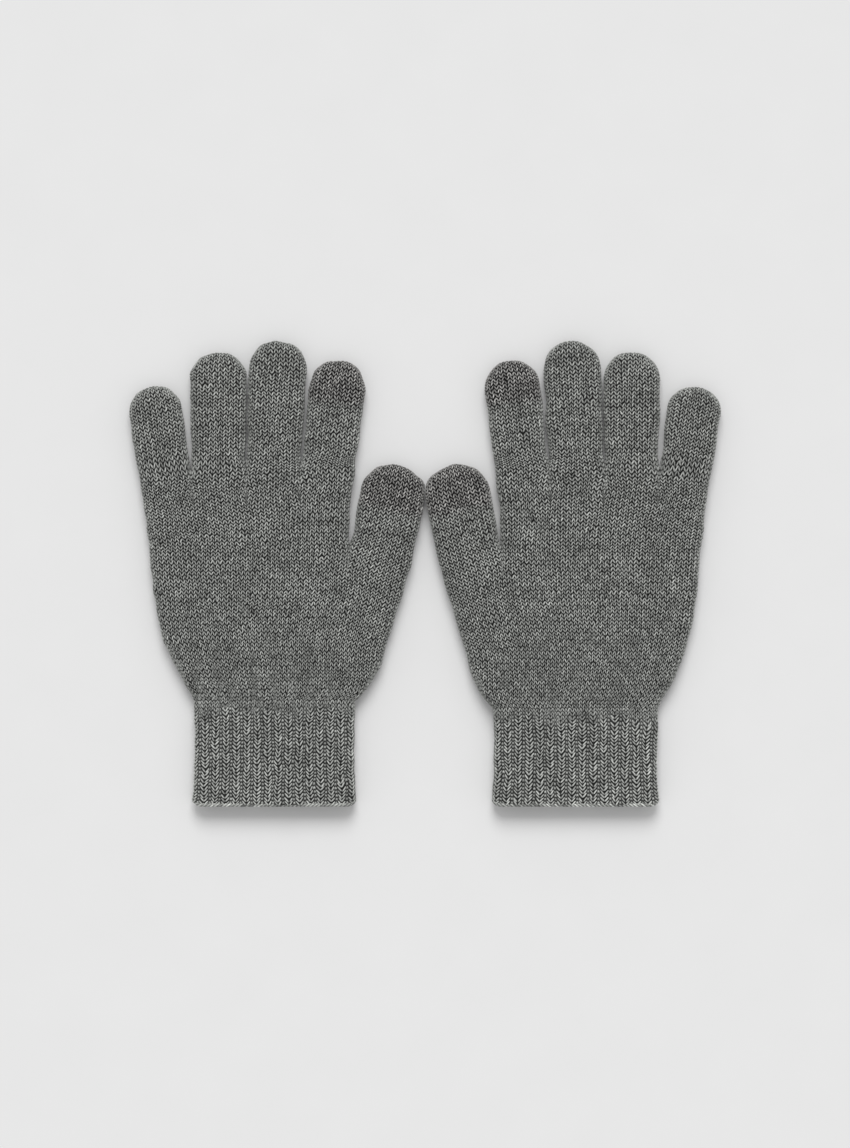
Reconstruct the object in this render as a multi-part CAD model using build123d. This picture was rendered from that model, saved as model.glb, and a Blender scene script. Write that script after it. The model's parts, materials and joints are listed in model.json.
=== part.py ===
from build123d import *
import math
import os

# A pair of knitted touchscreen gloves lying flat side by side, palms up, fingers towards +Y.
# The origin is the centre of the pair's footprint on the surface that the gloves lie on.
# Each glove is drawn in its own plan: x from the middle of the cuff towards the thumb, y from
# the cuff's edge towards the fingertips. The right-hand glove lies at -X, with its thumb towards
# +X; the left-hand glove is the mirror image, with a slightly wider and shorter cuff.

# --- the whole pair
GLOVE_LENGTH = 240.0         # cuff edge to the tip of the middle finger
GLOVE_SPACING = 155.4        # between the middles of the two cuffs
THICKNESS = 11.0             # of a glove lying flat, with a little air inside
RIM_RADIUS = 4.8             # rounding where the fabric folds round the side of the hand
WALL = 2.0                   # plain knit
CUFF_WALL = 2.4              # ribbed knit is thicker
CLEARANCE = 0.3              # between parts that move against each other
OVERRUN = 14.0               # how far a blank reaches past the plane that trims it

# --- the hand, in the glove's plan
KNUCKLE_Y = 171.0            # where the four fingers leave the palm
THUMB_FORK_Y = 131.0         # where the thumb leaves the palm
FORK_X = 37.9                # inner end of the fork between palm and thumb
OUTER_HEEL = (-57.5, 84.0)   # heel of the hand on the little finger's side
OUTER_SIDE = (-64.0, 128.0)  # middle of the little finger's side
INDEX_SIDE = (38.2, 150.0)   # middle of the index finger's side
THUMB_HEEL = (52.5, 67.0)    # foot of the ball of the thumb
HEEL_ROUND = 45.0
SIDE_ROUND = 90.0
FORK_ROUND = 0.5
FORK_DEPTH = 4.3             # from the bottom of the rounded fork to the corner it is drawn from
CUFF_ROUND = 9.0

# --- the cuff
EDGE_HEIGHT = 3.0            # overlocked edge
EDGE_WALL = 3.0
EDGE_ROUND = 0.9
ELASTIC_LOOPS = 8            # elastic yarn laid into the rib
ELASTIC_SIZE = 0.6
ELASTIC_MARGIN = 6.0         # from the cuff's ends to the nearest loop

# --- the thumb, along its own axis
THUMB_LEAN = 11.5
THUMB_BASE_WIDTH = 32.4
THUMB_TIP_WIDTH = 33.2
THUMB_TIP_Y = 176.5
THUMB_BEND = 17.0            # from the fork to the bend
THUMB_TOUCH = 23.0           # from the fork to the conductive yarn

# --- each finger: middle of its base, width there, width near the tip, y of the tip, lean
#     towards the thumb in degrees, and y of its bend
FINGERS = {
    "little": dict(base_x=-56.5, base_width=26.8, tip_width=27.2, tip_y=216.7, lean=-8.2, bend_y=192.0),
    "ring": dict(base_x=-28.8, base_width=27.4, tip_width=28.8, tip_y=234.3, lean=-0.2, bend_y=198.0),
    "middle": dict(base_x=-0.7, base_width=27.4, tip_width=29.4, tip_y=240.0, lean=2.6, bend_y=200.0),
    "index": dict(base_x=27.3, base_width=27.2, tip_width=28.4, tip_y=230.1, lean=6.6, bend_y=196.0),
}
INDEX_TOUCH_Y = 207.0        # start of the conductive yarn on the index finger

# --- what differs between the two gloves
GLOVES = {
    "right": dict(side=-1, mirrored=False, cuff_width=83.0, cuff_height=55.0),
    "left": dict(side=1, mirrored=True, cuff_width=85.0, cuff_height=51.0),
}

BIG = 400.0


def slab(x_low, x_high, y_low, y_high):
    """A block that covers the whole thickness, used for trimming."""
    size_x = x_high - x_low
    size_y = y_high - y_low
    return Pos((x_low + x_high) / 2, (y_low + y_high) / 2, 0) * Box(size_x, size_y, 4 * THICKNESS)


def between(y_low, y_high):
    return slab(-BIG, BIG, y_low, y_high)


def pillow(outline, inset, thickness, rim):
    """A flat-lying solid with rounded side edges, inset from the outline and mid-way up."""
    face = outline if inset == 0 else offset(outline, -inset, kind=Kind.INTERSECTION)
    body = extrude(face, thickness)
    rims = body.faces().filter_by(Axis.Z).edges()
    body = fillet(rims, rim)
    return Pos(0, 0, (THICKNESS - thickness) / 2) * body


def shell(outline, wall):
    """The outer and inner solids of a knitted bag over the given outline."""
    outer = pillow(outline, 0, THICKNESS, RIM_RADIUS)
    inner = pillow(outline, wall, THICKNESS - 2 * wall, RIM_RADIUS - 0.75 * wall)
    return outer, inner


def finger_outline(base_width, tip_width, length):
    """A tapered tube with a round end, from -OVERRUN to length along +Y."""
    tip_r = tip_width / 2
    run = length - tip_r
    slope = math.atan2((tip_width - base_width) / 2, run)
    touch_x = tip_r * math.cos(slope)
    touch_y = run - tip_r * math.sin(slope)
    foot_x = touch_x - (touch_y + OVERRUN) * math.tan(slope)
    sides = Polyline((-touch_x, touch_y), (-foot_x, -OVERRUN), (foot_x, -OVERRUN), (touch_x, touch_y))
    end = ThreePointArc((touch_x, touch_y), (0, length), (-touch_x, touch_y))
    return make_face(sides.edges() + end.edges())


def fork_to_tip():
    """Length of the thumb along its axis, from the middle of the fork to the tip."""
    middle_y = thumb_base()[1]
    lean = math.radians(THUMB_LEAN)
    tip_r = THUMB_TIP_WIDTH / 2
    return (THUMB_TIP_Y - tip_r - middle_y) / math.cos(lean) + tip_r


def thumb_base():
    """Middle of the thumb's port: half its width from the fork, square to its axis."""
    lean = math.radians(THUMB_LEAN)
    half = THUMB_BASE_WIDTH / 2
    inner_x = FORK_X + FORK_ROUND
    return (inner_x + half * math.cos(lean), THUMB_FORK_Y - half * math.sin(lean))


def place(base, lean):
    return Pos(base[0], base[1], 0) * Rot(0, 0, -lean)


def hand_outline(cuff_width, cuff_height):
    """Palm, thumb root and the top of the wrist, reaching OVERRUN past each trimming plane."""
    half_cuff = cuff_width / 2
    little = FINGERS["little"]
    index = FINGERS["index"]
    little_x = little["base_x"] - little["base_width"] / 2
    index_x = index["base_x"] + index["base_width"] / 2
    base = thumb_base()
    lean = math.radians(THUMB_LEAN)
    half = THUMB_BASE_WIDTH / 2

    def thumb_point(across, along):
        x = base[0] + across * math.cos(lean) + along * math.sin(lean)
        y = base[1] - across * math.sin(lean) + along * math.cos(lean)
        return (x, y)

    corners = [
        (-half_cuff, cuff_height - OVERRUN),
        (-half_cuff, cuff_height),
        OUTER_HEEL,
        OUTER_SIDE,
        (little_x - 1.4, KNUCKLE_Y + OVERRUN),
        (index_x, KNUCKLE_Y + OVERRUN),
        (index_x, KNUCKLE_Y),
        INDEX_SIDE,
        (FORK_X, THUMB_FORK_Y - FORK_DEPTH),
        thumb_point(-half, OVERRUN),
        thumb_point(half, OVERRUN),
        thumb_point(half, 0),
        THUMB_HEEL,
        (half_cuff, cuff_height),
        (half_cuff, cuff_height - OVERRUN),
    ]
    rounds = {1: CUFF_ROUND, 2: HEEL_ROUND, 3: SIDE_ROUND, 6: SIDE_ROUND, 7: SIDE_ROUND / 2,
              8: FORK_ROUND, 11: HEEL_ROUND, 12: HEEL_ROUND, 13: CUFF_ROUND}
    face = make_face(Polyline(*corners, close=True).edges())
    for number, radius in rounds.items():
        x, y = corners[number]
        corner = face.vertices().sort_by_distance((x, y, 0))[0]
        face = fillet(corner, radius)
    return face


def thumb_side(along_low):
    """All space on the thumb's side of the fork, from a plane square to the thumb outwards."""
    inner_x = -THUMB_BASE_WIDTH / 2 - FORK_ROUND / 2
    return place(thumb_base(), THUMB_LEAN) * slab(inner_x, BIG, along_low, BIG)


def make_palm(nodes, cuff_width, cuff_height, finger_rooms):
    outer, inner = shell(hand_outline(cuff_width, cuff_height), WALL)
    gap = CLEARANCE / 2
    knuckle_plane = KNUCKLE_Y - gap
    room = (inner & between(-BIG, knuckle_plane - WALL)) - thumb_side(-WALL - gap)
    bag = outer - room
    for finger_room in finger_rooms:
        bag = bag - finger_room
    bag = bag - thumb_side(-gap)
    nodes["upper_palm"] = bag & between(THUMB_FORK_Y, knuckle_plane)
    nodes["lower_palm"] = bag & between(cuff_height, THUMB_FORK_Y)


def band(width, y_low, y_high, wall, inset=0.0):
    """A flat-lying loop of fabric between two heights of the cuff."""
    height = THICKNESS - 2 * inset
    across = width - 2 * inset
    radius = RIM_RADIUS - inset
    outer = RectangleRounded(across, height, radius)
    inner = RectangleRounded(across - 2 * wall, height - 2 * wall, max(radius - wall, 0.4))
    section = Plane(origin=(0, y_low, THICKNESS / 2), x_dir=(1, 0, 0), z_dir=(0, -1, 0)) * (outer - inner)
    return extrude(section, -(y_high - y_low))


def make_cuff(nodes, cuff_width, cuff_height):
    nodes["rib_cuff"] = band(cuff_width, EDGE_HEIGHT, cuff_height, CUFF_WALL)
    edge = band(cuff_width, 0, EDGE_HEIGHT, EDGE_WALL)
    lip = edge.faces().sort_by(Axis.Y)[0].edges()
    nodes["cuff_edge"] = fillet(lip, EDGE_ROUND)
    first = EDGE_HEIGHT + ELASTIC_MARGIN
    pitch = (cuff_height - ELASTIC_MARGIN - first) / (ELASTIC_LOOPS - 1)
    loops = []
    for number in range(ELASTIC_LOOPS):
        y = first + number * pitch
        loops.append(band(cuff_width, y, y + ELASTIC_SIZE, ELASTIC_SIZE, CUFF_WALL))
    nodes["cuff_elastic"] = Compound(children=loops)


def make_fingers(nodes):
    """The four fingers. Returns the room inside each, which also opens the palm's ports."""
    rooms = []
    gap = CLEARANCE / 2
    for name, size in FINGERS.items():
        length = (size["tip_y"] - size["tip_width"] / 2 - KNUCKLE_Y) / math.cos(math.radians(size["lean"]))
        length = length + size["tip_width"] / 2
        outline = finger_outline(size["base_width"], size["tip_width"], length)
        outer, inner = shell(outline, WALL)
        placed = place((size["base_x"], KNUCKLE_Y), size["lean"])
        tube = placed * (outer - inner)
        rooms.append(placed * inner)
        bend = size["bend_y"]
        nodes[name + "_lower"] = tube & between(KNUCKLE_Y + gap, bend - gap)
        if name == "index":
            nodes["index_upper"] = tube & between(bend + gap, INDEX_TOUCH_Y)
            nodes["index_touch_tip"] = tube & between(INDEX_TOUCH_Y, BIG)
        else:
            nodes[name + "_upper"] = tube & between(bend + gap, BIG)
    return rooms


def make_thumb(nodes):
    gap = CLEARANCE / 2
    outline = finger_outline(THUMB_BASE_WIDTH, THUMB_TIP_WIDTH, fork_to_tip())
    outer, inner = shell(outline, WALL)
    placed = place(thumb_base(), THUMB_LEAN)
    tube = outer - inner
    nodes["thumb_lower"] = placed * (tube & between(gap, THUMB_BEND - gap))
    nodes["thumb_upper"] = placed * (tube & between(THUMB_BEND + gap, THUMB_TOUCH))
    nodes["thumb_touch_tip"] = placed * (tube & between(THUMB_TOUCH, BIG))
    return placed * inner


def make_glove(cuff_width, cuff_height):
    nodes = {}
    rooms = make_fingers(nodes)
    rooms.append(make_thumb(nodes))
    make_palm(nodes, cuff_width, cuff_height, rooms)
    make_cuff(nodes, cuff_width, cuff_height)
    return nodes


def put_in_place(shape, side, mirrored):
    if mirrored:
        shape = mirror(shape, about=Plane.YZ)
    return Pos(side * GLOVE_SPACING / 2, -GLOVE_LENGTH / 2, 0) * shape


def as_group(shape):
    solids = shape.solids()
    if len(solids) == 1:
        return solids[0]
    return Compound(children=list(solids))


def main():
    os.makedirs("parts", exist_ok=True)
    for hand, size in GLOVES.items():
        glove = make_glove(size["cuff_width"], size["cuff_height"])
        for name, shape in glove.items():
            placed = put_in_place(shape, size["side"], size["mirrored"])
            export_step(as_group(placed), "parts/" + hand + "_" + name + ".step")


main()
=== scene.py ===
import json
import math
import bpy
import numpy as np
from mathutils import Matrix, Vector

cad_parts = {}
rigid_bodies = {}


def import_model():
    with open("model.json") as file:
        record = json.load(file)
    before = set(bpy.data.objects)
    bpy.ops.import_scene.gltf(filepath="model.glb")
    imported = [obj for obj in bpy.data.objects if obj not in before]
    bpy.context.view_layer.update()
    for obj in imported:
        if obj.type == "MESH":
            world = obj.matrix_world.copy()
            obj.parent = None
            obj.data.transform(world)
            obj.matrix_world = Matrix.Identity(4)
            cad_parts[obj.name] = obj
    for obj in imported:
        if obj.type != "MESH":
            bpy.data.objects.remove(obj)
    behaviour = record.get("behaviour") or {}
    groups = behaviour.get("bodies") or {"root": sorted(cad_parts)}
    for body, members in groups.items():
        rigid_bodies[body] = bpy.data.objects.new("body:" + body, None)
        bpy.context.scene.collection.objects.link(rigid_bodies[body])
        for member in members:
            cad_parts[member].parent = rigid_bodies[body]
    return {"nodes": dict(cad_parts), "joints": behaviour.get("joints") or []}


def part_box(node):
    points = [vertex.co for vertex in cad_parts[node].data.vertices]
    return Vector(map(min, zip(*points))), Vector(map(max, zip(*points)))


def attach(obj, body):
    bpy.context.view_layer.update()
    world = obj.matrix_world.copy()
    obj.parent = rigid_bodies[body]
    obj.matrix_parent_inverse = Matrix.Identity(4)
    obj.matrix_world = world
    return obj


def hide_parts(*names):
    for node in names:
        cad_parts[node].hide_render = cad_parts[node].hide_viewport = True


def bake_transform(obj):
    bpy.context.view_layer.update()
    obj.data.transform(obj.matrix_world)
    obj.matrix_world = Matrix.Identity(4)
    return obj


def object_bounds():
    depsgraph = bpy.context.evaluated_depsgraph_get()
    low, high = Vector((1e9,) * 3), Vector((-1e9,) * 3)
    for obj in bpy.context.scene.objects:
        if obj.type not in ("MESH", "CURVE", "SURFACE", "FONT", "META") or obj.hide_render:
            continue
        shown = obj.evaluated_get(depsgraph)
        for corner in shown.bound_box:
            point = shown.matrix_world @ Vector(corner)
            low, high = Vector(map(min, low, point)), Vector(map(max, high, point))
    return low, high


# Knitted touchscreen gloves. The CAD frame gives the places of the cuffs, palms, fingers and
# joints. Every soft node is replaced by real knitting: each section is a tube of wales (columns
# of stitches) and courses (rows), and every stitch has its two yarn legs in the mesh.
# Glove coordinates: x from the middle of the cuff towards the thumb, y from the cuff's edge
# towards the fingertips, z up, all in metres.

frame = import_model()
cad_low, cad_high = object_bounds()
JOINTS = {joint["name"]: joint for joint in frame["joints"]}
MM = 0.001

# --- knitting
COURSE = 1.95 * MM           # height of a stitch
WALE_MM = 2.74               # its width in mm, where the fabric lies unstretched
STEPS_ACROSS = 8    # mesh columns in a stitch
STEPS_ALONG = 5     # mesh rows in a stitch
YARN_RISE = 1.0 * MM         # height of a yarn leg over the gaps
# yarn legs: half width and lean as shares of a column's width, half length of a course's height
PLAIN_LEGS = {"half_width": 0.17, "half_length": 0.62, "lean": 0.35}
RIB_LEGS = {"half_width": 0.135, "half_length": 0.72, "lean": -0.32}
LEG_SLIDE = 0.03             # spread of their places across the column
LEG_SLIP = 0.05              # and along it, in courses
LEG_GIRTH = 0.08             # spread of their widths
LEG_LIFT = 0.06              # and of their heights
LEG_DIP = 0.12               # a leg lies lower towards its upper end
PURL_BAR = {"place": 0.4, "arch": 0.25, "half_width": 0.46}     # in courses
PURL_LIFT = 0.08             # spread of the purl bars' heights
YARN_MEMORY = 0.1            # likeness of neighbouring legs' lightness
INSIDE_SHADE_HEIGHT = 0.55           # height for the painted gap shade, standing for the relief where the fabric's inside is plain
SIDE_RADIUS = 5.0 * MM       # rounding where the fabric folds round the side
CROTCH_RADIUS = 3.6 * MM     # the same between two fingers
CROWN = 0.5 * MM             # how much a finger or palm is fuller in the middle
WALL = 1.6 * MM              # from the gaps between the yarns to the inside
INSET = 0.7 * YARN_RISE      # of the fabric's mid-surface from the outline
LIFT = 1.0 * YARN_RISE       # the same above the surface that the glove lies on

# --- wales: columns of stitches on one face
FINGERS = ("little", "ring", "middle", "index")
FINGER_WALES = 12
THUMB_WALES = 14
HAND_WALES = len(FINGERS) * FINGER_WALES
PALM_WALES = HAND_WALES + THUMB_WALES
RING_WALES = 2 * PALM_WALES  # counted round the whole hand
CROTCH_WALES = (11, 12, 23, 24, 35, 36)     # added just below the fingers
FORK_WALES = (47, 48, 49)    # added just below the thumb
HEEL_WALES = (1, 2, 58, 59, 60)      # added above the cuff, beside the folds
CUFF_WALES = 48
CUFF_COURSE = 1.9 * MM
RIB_WALES = 3                # a plain column two wales broad, and a purl one
RIB_DROP = 0.32 * MM         # how far the purl columns lie back
RIB_START = 5                # courses over which the ribs come up, below the palm
RIB_START_SPREAD = 0.5
RIB_START_WAVES = (0.37, 0.11)      # of that spread, in radians a wale
PURL_WIDTH = 0.6             # of a plain column's width
PURL_HEIGHT = 0.84           # of a yarn leg's

# --- shaping
FORK_CREASE = 11 * MM        # length of the crease below the thumb's fork
CROTCH_CREASE = 9 * MM
CREASE_FADE = 0.7            # the smaller, the longer a crease stays deep
FORK_GROWTH = 6              # courses over which the added wales widen
CROTCH_GROWTH = 9
HEEL_GROWTH = 14
SLIM_INSIDE = 0.3 * MM       # a finger is this much slimmer beside its neighbour, near the palm
SLIM_START = 2.5 * MM
SLIM_END = (12 * MM, 14 * MM)    # where it begins to widen again, and over what length
# whether a digit has a neighbour on the little finger's side, and on the thumb's side
SLIM_SIDES = {"little": (0, 1), "ring": (1, 1), "middle": (1, 1), "index": (1, 0), "thumb": (1, 0)}
JOIN_COURSES = 6             # courses over which a section leaves the shape of the one below
THUMB_JOIN_COURSES = 4
TABLE_COURSES = 140          # courses in the random tables, enough for the whole glove
CUFF_FLARE = 0.9 * MM        # how much wider the cuff is at its edge
FLARE_REACH = 9 * MM
CUFF_WAIST = 0.5 * MM        # and how much narrower half-way along
GATHER_HEIGHT = 1.7 * MM     # soft folds where the palm is gathered into the cuff
GATHER_REACH = 32 * MM
GATHER_START = 12 * MM       # how far down the cuff they begin
GATHER_SIZES = (9 * MM, 15 * MM)
GATHER_STRETCH = 0.12        # they run up and down, so they change slowly that way
RIPPLE = 0.05                # unevenness of the upper side's height
RIPPLE_SIZES = (9 * MM, 26 * MM)
WANDER = 0.20 * MM           # unevenness of the stitches' places
WANDER_SIZES = (7 * MM, 22 * MM)
CORNER_RISE = 1.6 * MM       # how much the cuff's edge turns up at its two ends
CORNER_REACH = 5.0 * MM
SQUARE_TIP = 0.07            # how much a fingertip is squarer than a half circle

# --- joints: lengths along a digit
LOWER_TURN = 13 * MM         # the knuckle's bend, from the palm
UPPER_TURN = 8 * MM          # either side of a finger's own bend
THUMB_LOWER_TURN = 9 * MM
THUMB_UPPER_TURN = 6 * MM

# --- outlines of the palm: (y, x) from the cuff to the knuckles, in mm
OUTLINES = {
    "right": {
        "outer": [(55, -41.5), (60, -43.8), (66, -47.2), (75, -52.4), (85, -56.8), (97, -59.9),
                  (112, -62.3), (128, -63.9), (145, -65.7), (160, -68.0), (171, -70.0)],
        "thumb": [(55, 41.5), (60, 47.0), (66, 51.2), (75, 55.3), (86, 58.4), (97, 61.9),
                  (112, 66.5), (125, 70.3)],
    },
    "left": {
        "outer": [(51, -42.5), (55, -44.4), (60, -47.6), (66, -50.8), (75, -54.6), (85, -57.6),
                  (97, -60.2), (112, -62.5), (128, -63.9), (145, -65.7), (160, -68.0),
                  (171, -70.0)],
        "thumb": [(51, 42.5), (55, 46.2), (60, 49.8), (70, 53.9), (80, 56.4), (90, 59.5),
                  (100, 62.9), (112, 66.6), (125, 70.3)],
    },
}
INDEX_SIDE = [(131, 38.0), (150, 38.4), (162, 39.6), (171, 41.0)]
CROTCHES = [-42.8, -14.8, 13.4]      # x between neighbouring fingers at the knuckles, in mm
PALM_SIDES = (-70 * MM, 40 * MM)     # x of the palm's two sides there, roughly
KNUCKLE_TILT = 0.07          # the finger bases step up from the little finger to the index
KNUCKLE_LEVEL = -12 * MM     # x where the knuckle row is as high as in the frame


def smooth(x):
    x = np.clip(x, 0.0, 1.0)
    return x * x * (3 - 2 * x)


def curve_through(points, window=5.0):
    """A smooth function through (y, x) points given in mm; takes and gives metres."""
    points = np.array(points, float)
    fine = np.linspace(points[0, 0] - 30, points[-1, 0] + 30, 1200)
    first = (points[1, 1] - points[0, 1]) / (points[1, 0] - points[0, 0])
    last = (points[-1, 1] - points[-2, 1]) / (points[-1, 0] - points[-2, 0])
    value = np.interp(fine, points[:, 0], points[:, 1])
    value = np.where(fine < points[0, 0], points[0, 1] + (fine - points[0, 0]) * first, value)
    value = np.where(fine > points[-1, 0], points[-1, 1] + (fine - points[-1, 0]) * last, value)
    width = max(3, int(window / (fine[1] - fine[0])) | 1)
    kernel = np.hanning(width + 2)[1:-1]
    kernel /= kernel.sum()
    padded = np.pad(value, width // 2, mode="edge")
    value = np.convolve(padded, kernel, mode="valid")
    return lambda y: np.interp(np.asarray(y) / MM, fine, value) * MM


class Ripple:
    """Gentle random unevenness: a few long waves, the same on every run."""

    def __init__(self, seed, shortest, longest, count=14):
        draw = np.random.default_rng(seed)
        length = draw.uniform(shortest, longest, count)
        angle = draw.uniform(0, 2 * math.pi, count)
        self.kx = 2 * math.pi / length * np.cos(angle)
        self.ky = 2 * math.pi / length * np.sin(angle)
        self.phase = draw.uniform(0, 2 * math.pi, count)
        self.scale = 1.0 / math.sqrt(count / 2)

    def __call__(self, x, y):
        total = np.zeros_like(x)
        for kx, ky, phase in zip(self.kx, self.ky, self.phase):
            total += np.sin(kx * x + ky * y + phase)
        return total * self.scale


def add_object(name, data):
    """Puts an object with this mesh, light or camera into the scene."""
    thing = bpy.data.objects.new(name, data)
    bpy.context.scene.collection.objects.link(thing)
    return thing


class Knit:
    """The knitted surface for wale and course coordinates: its height, 0 to about 1, the
    lightness of the yarn that is on top, about 0 with a spread of 1, and how far it lies back."""

    def __init__(self, seed, wales, courses):
        draw = np.random.default_rng(seed)
        shape = (2 * wales + 4, courses + 6)
        self.lift = draw.normal(0, 1, shape)
        self.slide = draw.normal(0, 1, shape)
        self.slip = draw.normal(0, 1, shape)
        self.girth = draw.normal(0, 1, shape)
        self.shade = draw.normal(0, 1, shape)
        own = math.sqrt(1 - YARN_MEMORY ** 2)
        for leg in range(1, shape[0]):
            # the yarn runs along the course, so a leg takes after the one before it
            self.shade[leg] = YARN_MEMORY * self.shade[leg - 1] + own * self.shade[leg]

    def pick(self, table, i, j):
        return table[np.clip(i, 0, table.shape[0] - 1), np.clip(j, 0, table.shape[1] - 1)]

    def plain(self, wale, course):
        """Columns of stitches, each of two legs that lean together towards the fingertips."""
        column = np.floor(wale).astype(int)
        height, shade = self.legs(column, wale - column, course, **PLAIN_LEGS)
        return height, shade, 0 * height

    def legs(self, column, across, course, half_width, half_length, lean):
        """The two yarn legs of every stitch: their height and lightness at points across it."""
        row = np.floor(course).astype(int)
        best = np.zeros_like(across)
        shade = np.zeros_like(across)
        for leg in (0, 1):
            mirrored = across if leg == 0 else 1 - across
            for offset in (-1, 0, 1):
                i, j = 2 * column + leg, row + offset + 2
                along = course - (row + offset + 0.5) - LEG_SLIP * self.pick(self.slip, i, j)
                middle = 0.25 + LEG_SLIDE * self.pick(self.slide, i, j) + lean * along
                girth = half_width * (1 + LEG_GIRTH * self.pick(self.girth, i, j))
                side = (mirrored - middle) / girth
                end = along / half_length
                body = np.clip(1 - side ** 2 - end ** 4, 0, None) ** 0.5
                lift = 1 + LEG_LIFT * self.pick(self.lift, i, j)
                height = body * lift * (1 - LEG_DIP * along)
                shade = np.where(height > best, self.pick(self.shade, i, j), shade)
                best = np.maximum(best, height)
        return best, shade

    def purl(self, wale, course):
        """Rounded bars across the column, as on the back of the knitting."""
        column = np.floor(wale).astype(int)
        across = 2 * (wale - column) - 1
        row = np.floor(course).astype(int)
        best = np.zeros_like(wale)
        shade = np.zeros_like(wale)
        for offset in (-1, 0, 1):
            i, j = 2 * column, row + offset + 2
            middle = row + offset + PURL_BAR["place"] + PURL_BAR["arch"] * (1 - across ** 2)
            along = (course - middle) / PURL_BAR["half_width"]
            body = np.clip(1 - along ** 2, 0, None) ** 0.75 * (1 - 0.5 * across ** 2)
            height = body * (1 + PURL_LIFT * self.pick(self.lift, i, j))
            shade = np.where(height > best, self.pick(self.shade, i, j), shade)
            best = np.maximum(best, height)
        return best, shade

    def rib(self, wale, course):
        """Broad plain columns, whose legs lean apart, and narrow purl ones that lie back."""
        broad = RIB_WALES - 1
        within = np.mod(wale, RIB_WALES)
        purled = within >= broad
        drop = np.where(purled, np.sin(math.pi * np.clip(within - broad, 0, 1)) ** 0.6, 0)
        first = np.floor(wale - within).astype(int)
        plain, plain_shade = self.legs(first, np.clip(within / broad, 0, 1), course, **RIB_LEGS)
        purl, purl_shade = self.purl(wale, course)
        height = np.where(purled, PURL_HEIGHT * purl, plain)
        shade = np.where(purled, purl_shade, plain_shade)
        flat, flat_shade, _ = self.plain(wale, course)
        fast, slow = RIB_START_WAVES
        uneven = RIB_START_SPREAD * np.sin(fast * wale) * np.sin(slow * wale + 1)
        start = RIB_START * (1 + uneven)
        ribbed = smooth((course.max() - course) / start)
        height = ribbed * height + (1 - ribbed) * flat
        return height, np.where(ribbed > 0.5, shade, flat_shade), ribbed * drop * RIB_DROP


class Fabric:
    """The knitting of one glove as one set of points, so that its sections share their borders."""

    def __init__(self):
        self.points = np.zeros((0, 3))
        self.rise = np.zeros(0)
        self.shade = np.zeros(0)
        self.drop = np.zeros(0)
        self.sections = []

    def add(self, section, front, back, first=None, zipped=False):
        """Numbers a section's points. Its first row can be the row of points it grows from."""
        rows, columns = front.shape[:2]
        ids = len(self.points) + np.arange(2 * rows * columns).reshape(2, rows, columns)
        self.points = np.concatenate([self.points, front.reshape(-1, 3), back.reshape(-1, 3)])
        self.rise = np.concatenate([self.rise, *map(np.ravel, section.rise)])
        self.shade = np.concatenate([self.shade, *map(np.ravel, section.shade)])
        self.drop = np.concatenate([self.drop, *map(np.ravel, section.drop)])
        ids[1, :, 0] = ids[0, :, 0]
        ids[1, :, -1] = ids[0, :, -1]
        if first is not None:
            ids[:, 0] = first
        if zipped:
            ids[1, -1] = ids[0, -1]
        section.ids = ids
        self.sections.append(section)

    def finish(self, glove):
        """Adds unevenness, then the yarn's relief, and makes the inner side of the fabric."""
        points = self.points
        middle = glove.height / 2
        x, y = points[:, 0].copy(), points[:, 1].copy()
        points[:, 1] += glove.corner_rise(x, y)
        points[:, 0] += WANDER * glove.wander_across(x, y)
        points[:, 1] += WANDER * glove.wander(x, y) * smooth(y / CUFF_COURSE / 4)
        above = np.clip(points[:, 2] - middle, 0, None)
        points[:, 2] += RIPPLE * above * glove.ripple(x, y)
        over_cuff = y - glove.cuff_top
        gathers = smooth(1 - over_cuff / GATHER_REACH) * smooth(1 + over_cuff / GATHER_START)
        points[:, 2] += gathers * GATHER_HEIGHT * glove.gathers(x, y) * above / middle
        sides = [(section, side) for section in self.sections for side in (0, 1)]
        faces = np.concatenate([section.faces(side) for section, side in sides])
        edge_a = points[faces[:, 2]] - points[faces[:, 0]]
        edge_b = points[faces[:, 3]] - points[faces[:, 1]]
        facing = np.cross(edge_a, edge_b)
        total = np.zeros_like(points)
        for corner in range(4):
            np.add.at(total, faces[:, corner], facing)
        normal = total / np.maximum(np.linalg.norm(total, axis=1, keepdims=True), 1e-15)
        outside = points + normal * (YARN_RISE * self.rise - self.drop)[:, None]
        outside[:, 2] = np.maximum(outside[:, 2], 0.03 * MM)
        self.inner = len(points)
        self.points = np.concatenate([outside, points - normal * WALL])
        inside = np.zeros(len(points))
        # the inside has no relief; this height only sets its painted shade
        self.rise = np.concatenate([self.rise, inside + INSIDE_SHADE_HEIGHT])
        self.shade = np.concatenate([self.shade, inside])


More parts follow.
